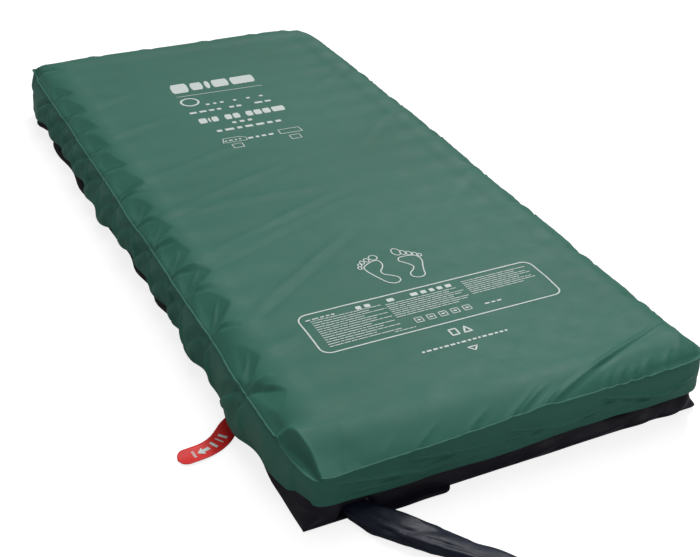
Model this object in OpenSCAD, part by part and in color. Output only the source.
// Alternating air-on-foam pressure relief mattress.
// A stretch cover zips onto a coated base tray. Inside, a row of transverse
// air cells lies on a foam slab, fed by two air lines from a hose bundle that
// leaves at the foot end, with a pull-out emergency deflation tag on the -X side.
// Frame: origin at the centre of the underside, +Y towards the head, +Z up.

/* [Mattress] */
// Width of the cover at its top seam
mattress_w = 900; // [860:5:920]
// Length of the cover at its top seam
mattress_l = 1980; // [1960:5:2000]
// Height of the crowned top above the underside
mattress_h = 155; // [155:1:165]
// Height of the welded top seam above the underside
seam_z = 125; // [118:1:128]
// Corner radius of the cover in plan
corner_r = 60; // [55:1:70]
// Thickness of the cover fabric
cover_t = 1.2; // [0.8:0.1:1.4]
// Height of the free lower edge of the cover skirt
skirt_z = 38; // [34:1:42]

/* [Base tray] */
// Width of the flat underside sheet
base_w = 920; // [900:5:930]
// Length of the flat underside sheet
base_l = 1970; // [1960:5:1990]
// Height of the tray's side wall
tray_h = 44; // [42:1:44]

/* [Foam] */
// Thickness of the foam slab
foam_h = 53.5; // [50:0.5:53.5]

/* [Air cells] */
// Spacing of the cells along the mattress
cell_pitch = 97; // [96.8:0.1:97.4]
// Outer radius of an inflated cell
cell_r = 48.25; // [47:0.25:48.25]
// Film thickness of a cell
cell_t = 1; // [0.8:0.1:1.5]

/* [Air lines] */
// Outer radius of the two distribution lines
line_r = 4.5; // [4:0.1:4.5]
// Outer radius of the two supply hoses in the sleeve
supply_r = 5.5; // [5:0.1:5.5]
// Length of the last straight run of the hose sleeve
sleeve_run = 160; // [100:10:240]

/* [Deflation tag] */
// Distance of the tag from mid length, towards the foot
tag_y = -655; // [-660:1:-650]
// Width of the pull tag
tag_w = 40; // [34:1:42]
// Radius of the three plug ports
port_r = 6; // [5:0.1:6]

/* [Hose connector] */
// Radius of the two air nozzles
nozzle_r = 5; // [4.8:0.1:5.2]

/* [Hidden] */
// number of transverse air cells, and how many of them at the head end stay static
cell_count = 20;
static_cells = 3;
$fn = 48;

fabric_green = [0.26, 0.46, 0.38];
fabric_navy = [0.06, 0.07, 0.12];
foam_cream = [0.90, 0.86, 0.70];
film_blue = [0.30, 0.42, 0.58];
hose_grey = [0.75, 0.77, 0.78];
nylon_white = [0.90, 0.90, 0.88];
zip_black = [0.05, 0.05, 0.06];
metal_grey = [0.62, 0.63, 0.65];
tag_red = [0.80, 0.12, 0.12];
rubber_black = [0.04, 0.04, 0.04];

over = 1;                            // how far a cut runs past the face it opens
wall_inset = 8.5;                    // inner face of the tray wall, in from the cover outline
wall_x = mattress_w / 2 - wall_inset;
wall_y = mattress_l / 2 - wall_inset;
wall_t = 1.5;
sheet_t = 1.5;
foam_top = sheet_t + foam_h;

cell_z = foam_top + 1 + cell_r;
cell_end = mattress_w / 2 - 18;      // tip of a cell's domed end
cell_dome = 30;                      // length of the domed end
line_inset = 7;                      // from the cell tip to the air line
line_x = cell_end - line_inset;
line_z = foam_top + 6;

hose_z = 17;
hose_offset = 11;                    // each supply hose, from the middle of the bundle
hose_bore_r = supply_r + 0.1;
exit_x = -358;                       // where the hose bundle leaves the foot end
port_z = 16;
port_offsets = [-20, 0, 20];         // the three plug ports, along Y from the tag

// heights at which the two feed hoses cross the foam, and their places along Y
cross_y = tag_y + 15;
cross_z = foam_top - 6;
link_y = tag_y - 18;
link_z = 41;

// cell 1 is at the head end
function cell_y(k) = (cell_count - 1) / 2 * cell_pitch - (k - 1) * cell_pitch;
function on_line_a(k) = k > static_cells && k % 2 == 0;
function on_line_b(k) = k > static_cells && k % 2 == 1;

// ---------- shared shapes ----------
module rounded_rect(width, length, radius) {
    square([width - 2 * radius, length], center = true);
    square([width, length - 2 * radius], center = true);
    for (sx = [-1, 1], sy = [-1, 1])
        translate([sx * (width / 2 - radius), sy * (length / 2 - radius)]) circle(r = radius);
}

// a closed band that follows the cover outline, its inner face set in from it by inset
module band(inset, thick, z0, z1) {
    outset = thick - inset;
    translate([0, 0, z0]) linear_extrude(z1 - z0) difference() {
        rounded_rect(mattress_w + 2 * outset, mattress_l + 2 * outset, corner_r + outset);
        rounded_rect(mattress_w - 2 * inset, mattress_l - 2 * inset, corner_r - inset);
    }
}

module along_x(radius, length) rotate([0, 90, 0]) cylinder(r = radius, h = length);

module along_y(y0, y1, radius)
    translate([0, y0, 0]) rotate([-90, 0, 0]) cylinder(r = radius, h = y1 - y0);

module centred_box(size) translate(-size / 2) cube(size);

// ---------- cover ----------
weld_h = 2;
crown_w = 60;                        // width of the crowned edge
crown_z = seam_z + weld_h / 2;
crown_h = mattress_h - crown_z;
crown_steps = 9;

// quarter ellipse of the crowned edge: [distance out from the flat top, height]
function crown_arc(inset, steps) = [
    for (i = steps) let (a = 90 * i / crown_steps)
        [(crown_w - inset) * cos(a), crown_z + (crown_h - inset) * sin(a)]];

module crown_section()
    polygon(concat(crown_arc(0, [0:crown_steps]), crown_arc(cover_t, [crown_steps:-1:0])));

module cover_top_panel() color(fabric_green) {
    flat_x = mattress_w / 2 - crown_w;
    flat_y = mattress_l / 2 - crown_w;
    union() {
        translate([0, 0, mattress_h - cover_t])
            linear_extrude(cover_t) square([2 * flat_x, 2 * flat_y], center = true);
        // straight edges: [turn, distance from the centre, half length]
        for (edge = [[0, flat_x, flat_y], [90, flat_y, flat_x],
                     [180, flat_x, flat_y], [270, flat_y, flat_x]])
            rotate([0, 0, edge[0]]) translate([edge[1], edge[2], 0]) rotate([90, 0, 0])
                linear_extrude(2 * edge[2]) crown_section();
        // corners: [side in X, side in Y, turn]
        for (corner = [[1, 1, 0], [-1, 1, 90], [-1, -1, 180], [1, -1, 270]])
            translate([corner[0] * flat_x, corner[1] * flat_y, 0]) rotate([0, 0, corner[2]])
                rotate_extrude(angle = 90) crown_section();
    }
}

module cover_side_border() color(fabric_green)
    band(cover_t, cover_t, skirt_z, seam_z - weld_h / 2);

module cover_seam_weld() color(fabric_green)
    band(4, 8.5, seam_z - weld_h / 2, seam_z + weld_h / 2);

// ---------- base tray ----------
module base_bottom_panel() color(fabric_navy)
    linear_extrude(sheet_t) rounded_rect(base_w, base_l, 3);

wall_cut = 20;                       // depth of the cutters for the wall openings
tag_slot_w = 72;

module base_side_wall() color(fabric_navy) difference() {
    band(wall_inset, wall_t, sheet_t, tray_h);
    // slot for the deflation tag and its plug bar
    translate([-wall_x - wall_cut / 2, tag_y - tag_slot_w / 2, 3.2])
        cube([wall_cut, tag_slot_w, 29]);
    // opening for the hose sleeve
    translate([exit_x - 31, -wall_y - wall_cut / 2, sheet_t]) cube([68, wall_cut, 33]);
}

// a rounded tab beside the hose opening
flap_x = exit_x + 45;
flap_end_x = -165;
flap_y = -992;
flap_r = 12;

module hose_exit_flap() color(fabric_navy)
    translate([0, 0, sheet_t]) linear_extrude(0.8) difference() {
        union() {
            translate([flap_x, flap_y - flap_r]) square([flap_end_x - flap_x, 2 * flap_r]);
            translate([flap_end_x, flap_y]) circle(r = flap_r);
        }
        // keep the tab outside the tray wall
        translate([-400, -wall_y - wall_t - 0.01]) square([400, 60]);
    }

// ---------- zip ----------
zip_mid = tray_h + 8;                // height of the middle of the zip chain
zip_inset = wall_inset - 2;          // middle plane of the chain
zip_x = mattress_w / 2 - zip_inset;
coil_inset = zip_inset + 1.2;
coil_t = 2.2;
coil_near = 1;                       // near and far edges of a coil from the middle
coil_far = 2.6;
tape_inset = wall_inset - wall_t;
tape_t = 0.9;
tape_far = 13;
lip_h = 1;

module zip_tape_lower() color(zip_black)
    band(tape_inset, tape_t, tray_h - 9, zip_mid - coil_far);

module zip_coil_lower() color(zip_black)
    band(coil_inset, coil_t, zip_mid - coil_far, zip_mid - coil_near);

// the top of the upper tape turns out as a lip to meet the skirt
module zip_tape_upper() color(zip_black) union() {
    band(tape_inset, tape_t, zip_mid + coil_far, zip_mid + tape_far);
    band(tape_inset, tape_inset - cover_t, zip_mid + tape_far - lip_h, zip_mid + tape_far);
}

module zip_coil_upper() color(zip_black)
    band(coil_inset, coil_t, zip_mid + coil_near, zip_mid + coil_far);

slider_y = -850;
slider_out = 3;                      // outer face of the slider from the middle plane
slider_w = 5.7;                      // over both plates
slider_l = 16;
slider_h = 11;
outer_plate_t = 1.1;
inner_plate_t = 1;
neck_h = 1.4;
pull_pin_r = 0.9;

// the slider straddles the chain on the -X side; its neck runs between the two coils
module zip_slider() color(metal_grey) translate([-zip_x, slider_y, zip_mid]) {
    translate([-slider_out, -slider_l / 2, -slider_h / 2])
        cube([outer_plate_t, slider_l, slider_h]);
    translate([slider_w - slider_out - inner_plate_t, -slider_l / 2, -slider_h / 2])
        cube([inner_plate_t, slider_l, slider_h]);
    translate([-slider_out, 2, -neck_h / 2]) cube([slider_w, 5, neck_h]);
}

// turns local z outwards (-X) and local x upwards, with a gap off the slider's outer face
module on_slider(gap)
    translate([-zip_x - slider_out - gap, slider_y, zip_mid]) rotate([0, -90, 0]) children();

module zip_pull_pin() color(metal_grey) on_slider(0) {
    cylinder(r = pull_pin_r, h = 2.0);
    translate([0, 0, 1.7]) cylinder(r = 2.2, h = 0.5);
}

tab_l = 30;
tab_w = 5.2;
module zip_pull_tab() color(metal_grey) on_slider(0.25) linear_extrude(1.2) difference() {
    union() {
        circle(r = 3.2);
        translate([-tab_l, -tab_w / 2]) square([tab_l, tab_w]);
        translate([-tab_l, 0]) circle(r = 4.2);
    }
    circle(r = pull_pin_r + 0.05);
    translate([-tab_l + 0.5, 0]) circle(r = 2.2);
}

// ---------- foam ----------
notch_x = -329;                      // inner end of the valve notch
channel_w = 64;
channel_top = 36;
groove_x = -340;                     // -X end of the cross hose groove
groove_w = 12;

module foam_base() color(foam_cream) difference() {
    translate([0, 0, sheet_t]) linear_extrude(foam_h)
        rounded_rect(2 * wall_x - 7, 2 * wall_y - 13, corner_r - 12);
    // notch for the deflation valve, open to the -X side
    translate([-wall_x - over, tag_y - 45, -over]) cube([wall_x + over + notch_x, 92, 90]);
    // channel for the hose bundle, open to the foot end
    translate([exit_x - channel_w / 2, -wall_y - over, -over])
        cube([channel_w, wall_y + over + tag_y - 40, channel_top + over]);
    // groove for the cross hose
    translate([groove_x, cross_y - groove_w / 2, cross_z - groove_w / 2])
        cube([wall_x + over - groove_x, groove_w, 20]);
}

// ---------- cells ----------
dome_steps = 10;

// half section of a cell set in by inset: [radius, distance along the cell]
function cell_profile(inset) =
    let (radius = cell_r - inset, dome_x = cell_end - cell_dome, dome = cell_dome - inset,
         step = 90 / dome_steps)
    concat(
        [[0, -dome_x - dome]],
        [for (i = [1:dome_steps]) let (a = 90 - step * i)
            [radius * cos(a), -dome_x - dome * sin(a)]],
        [for (i = [0:dome_steps - 1]) let (a = step * i)
            [radius * cos(a), dome_x + dome * sin(a)]],
        [[0, dome_x + dome]]);

module air_cell(k) color(film_blue) translate([0, cell_y(k), cell_z]) difference() {
    rotate([0, 90, 0]) rotate_extrude() polygon(cell_profile(0));
    rotate([0, 90, 0]) rotate_extrude() polygon(cell_profile(cell_t));
    // air port in the underside of one end
    translate([on_line_a(k) ? line_x : -line_x, 0, -cell_r]) cylinder(r = 2, h = cell_r);
}

strap_x = 300;
strap_w = 30;
strap_l = 1880;
strap_t = 0.8;
strap_z = foam_top + 0.05;
stud_base_h = 1.2;

module cell_tie_straps() color(fabric_navy)
    for (s = [-1, 1])
        translate([s * strap_x - strap_w / 2, -strap_l / 2, strap_z])
            cube([strap_w, strap_l, strap_t]);

// one stud on each strap between neighbouring cells
module tie_strap_press_studs() color(metal_grey)
    for (k = [1:cell_count - 1], s = [-1, 1])
        translate([s * strap_x, (cell_y(k) + cell_y(k + 1)) / 2, strap_z + strap_t]) {
            cylinder(r = 6, h = stud_base_h);
            translate([0, 0, stud_base_h]) cylinder(r = 3.5, h = 1.4);
        }

// ---------- air lines ----------
line_t = 1.4;
line_tail = 14;                      // how far a line runs past its last cell
check_y = (cell_y(static_cells) + cell_y(static_cells + 1)) / 2;
check_half = 14;                     // from the check valve's middle to each line end

module air_line(x, y0, y1) color(hose_grey) translate([x, 0, line_z]) difference() {
    along_y(y0, y1, line_r);
    along_y(y0 - over, y1 + over, line_r - line_t);
}
module air_line_a()
    air_line(line_x, cell_y(cell_count) - line_tail, cell_y(static_cells + 1) + line_tail);
module air_line_b()
    air_line(-line_x, cell_y(cell_count - 1) - line_tail, check_y - check_half);
module static_air_line()
    air_line(-line_x, check_y + check_half, cell_y(1) + line_tail);

tee_r = 5.9;
tee_half = 9;
stem_r = 3;
stem_gap = 0.3;
feed_stem_r = 5;
// height from the line to just below the cell's dome, at the stem's inner side
stem_h = cell_z - line_z - stem_gap
    - cell_r * sqrt(1 - pow((cell_dome - line_inset - stem_r - stem_gap) / cell_dome, 2));

// a sleeve around the line, with a branch given as children
module tee(x, y) translate([x, y, line_z]) difference() {
    union() {
        along_y(-tee_half, tee_half, tee_r);
        children();
    }
    along_y(-tee_half - over, tee_half + over, line_r + 0.05);
}

// branch up to a cell's port
module cell_tee(x, k) tee(x, cell_y(k)) cylinder(r = stem_r, h = stem_h);

// branch down to a feed hose at height z
module feed_tee(x, y, z) tee(x, y) {
    translate([0, 0, z - line_z]) cylinder(r = feed_stem_r, h = line_z - z);
    translate([0, 0, z - line_z]) sphere(r = feed_stem_r);
}

module line_a_tees() color(nylon_white) {
    for (k = [1:cell_count]) if (on_line_a(k)) cell_tee(line_x, k);
    feed_tee(line_x, cross_y, cross_z);
}
module line_b_tees() color(nylon_white) {
    for (k = [1:cell_count]) if (on_line_b(k)) cell_tee(-line_x, k);
    feed_tee(-line_x, link_y, link_z);
}
module static_line_tees() color(nylon_white)
    for (k = [1:static_cells]) cell_tee(-line_x, k);

module check_valve() color(nylon_white) translate([-line_x, check_y, line_z]) {
    along_y(-check_half + 0.1, check_half - 0.1, 4);
    along_y(-8, 8, tee_r);
}

// ---------- deflation valve and feed hoses ----------
valve_x0 = exit_x - 36;
valve_x1 = exit_x + 22;
valve_w = 70;
valve_z = 4;
valve_top = 30;
valve_socket = 12;                   // depth of the supply hose sockets
feed_r = 4;

module cpr_valve_body() color(nylon_white) difference() {
    translate([valve_x0, tag_y - valve_w / 2, valve_z])
        cube([valve_x1 - valve_x0, valve_w, valve_top - valve_z]);
    for (d = port_offsets) translate([valve_x0 - over, tag_y + d, port_z]) along_x(port_r, 20);
    for (s = [-1, 1]) translate([exit_x + s * hose_offset, tag_y - valve_w / 2, hose_z])
        along_y(-over, valve_socket, hose_bore_r);
}

// rises from the valve at riser_x, turns level at height z and runs to a tee
module feed_hose(riser_x, tee_x, y, z) color(hose_grey) union() {
    translate([riser_x, y, valve_top]) cylinder(r = feed_r, h = z - valve_top);
    translate([riser_x, y, z]) sphere(r = feed_r);
    translate([min(riser_x, tee_x), y, z]) along_x(feed_r, abs(tee_x - riser_x));
}
feed_end_x = line_x - 5.2;
module cross_hose() feed_hose(valve_x1 - 8, feed_end_x, cross_y, cross_z);
module link_hose() feed_hose(valve_x0 + 14, -feed_end_x, link_y, link_z);

// ---------- hose bundle ----------
// The bundle leaves the foot end, bends, runs out over the floor and turns back in a J.
bend_y = -965;                       // where the first bend starts
bend_r = 50;
heading = [0.6, -0.8];               // direction of the slanting run
turn = asin(heading[0]);
slant_l = 250;
hook_r = 150;
bend_end = [exit_x, bend_y] + bend_r * [1 + heading[1], -heading[0]];
hook_centre = bend_end + slant_l * heading + hook_r * [heading[1], -heading[0]];
hook_end = hook_centre - [0, hook_r];
end_x = hook_end[0] - sleeve_run;    // rear face of the connector
connector_y = hook_end[1];
hose_start_y = -940;                 // where the swept part of the hoses starts
cuff_l = 8;
sleeve_r = 15;
sleeve_t = 1.2;

// local z runs along the slanting run, from its start
module on_slant()
    translate([bend_end[0], bend_end[1], hose_z]) rotate([0, 0, turn]) rotate([90, 0, 0])
        children();

// sweeps the child section along the bundle path, from y_start to x_stop
module bundle(y_start, x_stop) {
    translate([exit_x, y_start, hose_z]) rotate([90, 0, 0])
        linear_extrude(y_start - bend_y) children();
    translate([exit_x + bend_r, bend_y, hose_z]) rotate([0, 0, 180])
        rotate_extrude(angle = turn) translate([bend_r, 0]) children();
    on_slant() linear_extrude(slant_l) children();
    translate([hook_centre[0], hook_centre[1], hose_z])
        rotate_extrude(angle = turn) translate([hook_r, 0]) children();
    translate([hook_centre[0], hook_centre[1], hose_z]) rotate([0, 0, -90])
        rotate_extrude(angle = 90) translate([hook_r, 0]) children();
    translate([x_stop, connector_y, hose_z]) rotate([90, 0, 90])
        linear_extrude(hook_end[0] - x_stop) children();
}

// flat-sided oval around the two hoses
module oval(radius) {
    square([2 * hose_offset, 2 * radius], center = true);
    for (s = [-1, 1]) translate([s * hose_offset, 0]) circle(r = radius);
}
module oval_ring(outer_r, inner_r) difference() {
    oval(outer_r);
    oval(inner_r);
}

module hose_sleeve() color(fabric_navy) union() {
    bundle(-950, end_x + 2) oval_ring(sleeve_r, sleeve_r - sleeve_t);
}

module supply_hoses() color(hose_grey) for (s = [-1, 1]) union() {
    bundle(hose_start_y, end_x - 8) translate([s * hose_offset, 0]) circle(r = supply_r);
    // joining cuffs where a moulded bend meets the straight hose
    for (d = [0, slant_l]) on_slant()
        translate([s * hose_offset, 0, d - cuff_l / 2]) cylinder(r = supply_r + 0.7, h = cuff_l);
    // straight run inside the mattress to the valve socket
    translate([exit_x + s * hose_offset, hose_start_y, hose_z])
        along_y(0, tag_y - valve_w / 2 + valve_socket - hose_start_y, supply_r);
}

module sleeve_collar() color(rubber_black)
    translate([end_x + 2.5, connector_y, hose_z]) rotate([90, 0, 90])
        linear_extrude(11.5) oval_ring(16.8, 15.1);

// ---------- connector ----------
// drawn with its rear face at x = 0 and its nozzles along +x, then turned to the end of the bundle
connector_l = 56;
hinge_x = connector_l - 4;
hinge_z = hose_z + 17;
hinge_pin_r = 1.5;
lug_y = 18;
lug_w = 6;
lug_r = 4;
lug_h = 6;
groove_start = 0.5;                  // seal groove, from the front face
groove_l = 1.8;
latch_x = 33.3;                      // middle of the latch buttons

module at_connector() translate([end_x, connector_y, 0]) rotate([0, 0, 180]) children();

module connector_body() color(nylon_white) at_connector() difference() {
    union() {
        translate([0, 0, hose_z]) rotate([0, 90, 0])
            linear_extrude(connector_l) rounded_rect(26, 52, 6);
        for (s = [-1, 1]) {
            translate([connector_l, s * hose_offset, hose_z]) along_x(nozzle_r, 16);
            // hinge lugs
            translate([hinge_x - lug_r, s * lug_y - lug_w / 2, hinge_z - lug_h])
                cube([2 * lug_r, lug_w, lug_h]);
            translate([hinge_x, s * lug_y, hinge_z]) along_y(-lug_w / 2, lug_w / 2, lug_r);
        }
    }
    for (s = [-1, 1]) {
        // air way
        translate([10, s * hose_offset, hose_z]) along_x(2.6, 70);
        // socket for the hose
        translate([-over, s * hose_offset, hose_z]) along_x(hose_bore_r, 14);
        // seal groove at the root of the nozzle
        translate([connector_l + groove_start, s * hose_offset, hose_z]) rotate([0, 90, 0])
            difference() {
                cylinder(r = nozzle_r + 1, h = groove_l);
                translate([0, 0, -1]) cylinder(r = nozzle_r - 1.6, h = 5);
            }
        // pocket for the latch button, with a spring seat
        translate([latch_x, s * 24.5, hose_z]) centred_box([18.6, 7, 12.6]);
        translate([latch_x, s * 19.5, hose_z]) along_y(-3, 3, 2.6);
    }
    // hinge bore
    translate([hinge_x, 0, hinge_z]) along_y(-30, 30, hinge_pin_r + 0.05);
}

module connector_o_rings() color(rubber_black) at_connector()
    for (s = [-1, 1])
        translate([connector_l + groove_start + groove_l / 2, s * hose_offset, hose_z])
            rotate([0, 90, 0]) rotate_extrude() translate([nozzle_r - 0.8, 0]) circle(r = 0.75);

// a plate with four grip ridges; side is -1 or 1 in the connector's own y
module latch_button(side) color(fabric_navy) at_connector() union() {
    translate([latch_x, side * 24.9, hose_z]) centred_box([18, 3, 12]);
    for (i = [0:3]) translate([28.1 + 3.6 * i, side * 26.5, hose_z]) centred_box([1.2, 1.2, 10]);
}
module latch_button_left() latch_button(-1);
module latch_button_right() latch_button(1);

// a round wire wound on a coil of radius coil_r, standing on z = 0
module coil_spring(coil_r, wire_r, height, turns) {
    steps = 12;                      // rings of points in a turn
    sides = 6;                       // points in a ring
    count = turns * steps;
    function ring(i) = let (a = 360 * i / steps, z = wire_r + (height - 2 * wire_r) * i / count)
        [for (j = [0:sides - 1]) let (b = 360 * j / sides, reach = coil_r + wire_r * cos(b))
            [reach * cos(a), reach * sin(a), z + wire_r * sin(b)]];
    // index of a point, wrapping round its ring
    function at(i, j) = i * sides + j % sides;
    polyhedron([for (i = [0:count]) each ring(i)], concat(
        [[for (j = [sides - 1:-1:0]) j]],
        [for (i = [0:count - 1], j = [0:sides - 1]) [at(i, j), at(i, j + 1), at(i + 1, j + 1)]],
        [for (i = [0:count - 1], j = [0:sides - 1]) [at(i, j), at(i + 1, j + 1), at(i + 1, j)]],
        [[for (j = [0:sides - 1]) at(count, j)]]));
}
module latch_spring(side) color(metal_grey) at_connector()
    translate([latch_x, side * 16.6, hose_z]) rotate([side * -90, 0, 0])
        coil_spring(coil_r = 1.9, wire_r = 0.3, height = 6.7, turns = 5);
module latch_spring_left() latch_spring(-1);
module latch_spring_right() latch_spring(1);

module cap_hinge_pin() color(metal_grey) at_connector()
    translate([hinge_x, 0, hinge_z]) along_y(-21.6, 21.6, hinge_pin_r);

cap_open = 125;                      // opening angle
cap_x = 4.6;                         // from the hinge axis
cap_z = -31;
cap_size = [20, 50, 32];
cap_t = 1.8;
cap_top_t = 2;                       // top wall, and the web to the hinge barrel
cavity_x = 4;
barrel_w = 29.2;

// drawn closed over the nozzles, then swung open about the hinge
module transport_cap() color(nylon_white) at_connector()
    translate([hinge_x, 0, hinge_z]) rotate([0, -cap_open, 0]) difference() {
        union() {
            translate([cap_x, -cap_size[1] / 2, cap_z]) cube(cap_size);
            along_y(-barrel_w / 2, barrel_w / 2, 3.6);
            translate([0, -barrel_w / 2, -cap_top_t / 2]) cube([6, barrel_w, cap_top_t]);
        }
        translate([cavity_x, -cap_size[1] / 2 + cap_t, cap_z + cap_t])
            cube([cap_x + cap_size[0] - cap_t - cavity_x, cap_size[1] - 2 * cap_t,
                  cap_size[2] - cap_t - cap_top_t]);
        along_y(-30, 30, hinge_pin_r + 0.06);
    }

// ---------- deflation tag ----------
bar_x = valve_x0 - 12;
bar_w = 54;
bar_h = 16;
plug_r = port_r - 0.35;

module cpr_plug_bar() color(tag_red) {
    translate([bar_x, tag_y - bar_w / 2, port_z - bar_h / 2]) cube([6, bar_w, bar_h]);
    for (d = port_offsets) translate([bar_x + 5.9, tag_y + d, port_z]) along_x(plug_r, 20);
}

module cpr_plug_seals() color(rubber_black)
    for (d = port_offsets) translate([bar_x + 18, tag_y + d, port_z]) rotate([0, 90, 0])
        difference() {
            cylinder(r = port_r - 0.06, h = 2.4);
            translate([0, 0, -1]) cylinder(r = plug_r, h = 5);
        }

tag_t = 1.2;
tag_l = 66;                          // flat end, from the pivot to the centre of its round tip
drop_x = -mattress_w / 2 - 16;       // where the tag starts down
floor_x = drop_x - 24;               // where it meets the floor
pivot_x = floor_x - 12;              // where it turns towards the foot
slot_z = port_z - tag_t / 2;         // underside of the level part
floor_z = 1.6;                       // underside of the part on the floor

// the tag leaves the slot level, drops to the floor and turns a little towards the foot
module cpr_pull_tag() color(tag_red) union() {
    translate([0, tag_y + tag_w / 2, 0]) rotate([90, 0, 0]) linear_extrude(tag_w)
        polygon([[bar_x, slot_z], [drop_x, slot_z],
                 [floor_x, floor_z], [pivot_x, floor_z],
                 [pivot_x, floor_z + tag_t], [floor_x - 0.5, floor_z + tag_t],
                 [drop_x - 0.5, slot_z + tag_t], [bar_x, slot_z + tag_t]]);
    translate([0, 0, floor_z]) linear_extrude(tag_t) {
        translate([pivot_x, tag_y]) rotate([0, 0, 24]) {
            translate([-tag_l, -tag_w / 2]) square([tag_l, tag_w]);
            translate([-tag_l, 0]) circle(r = tag_w / 2);
        }
        translate([pivot_x, tag_y]) circle(r = tag_w / 2);
    }
}

base_bottom_panel();
base_side_wall();
hose_exit_flap();
zip_tape_lower();
zip_coil_lower();
foam_base();
cell_tie_straps();
tie_strap_press_studs();
air_cell(1);  // air_cell_01
air_cell(2);  // air_cell_02
air_cell(3);  // air_cell_03
air_cell(4);  // air_cell_04
air_cell(5);  // air_cell_05
air_cell(6);  // air_cell_06
air_cell(7);  // air_cell_07
air_cell(8);  // air_cell_08
air_cell(9);  // air_cell_09
air_cell(10);  // air_cell_10
air_cell(11);  // air_cell_11
air_cell(12);  // air_cell_12
air_cell(13);  // air_cell_13
air_cell(14);  // air_cell_14
air_cell(15);  // air_cell_15
air_cell(16);  // air_cell_16
air_cell(17);  // air_cell_17
air_cell(18);  // air_cell_18
air_cell(19);  // air_cell_19
air_cell(20);  // air_cell_20
air_line_a();
air_line_b();
static_air_line();
line_a_tees();
line_b_tees();
static_line_tees();
check_valve();
cross_hose();
link_hose();
cpr_valve_body();
supply_hoses();
hose_sleeve();
sleeve_collar();
connector_body();
connector_o_rings();
cap_hinge_pin();
transport_cap();
latch_button_left();
latch_button_right();
latch_spring_left();
latch_spring_right();
cover_top_panel();
cover_side_border();
cover_seam_weld();
zip_tape_upper();
zip_coil_upper();
zip_slider();
zip_pull_pin();
zip_pull_tab();
cpr_plug_bar();
cpr_pull_tag();
cpr_plug_seals();
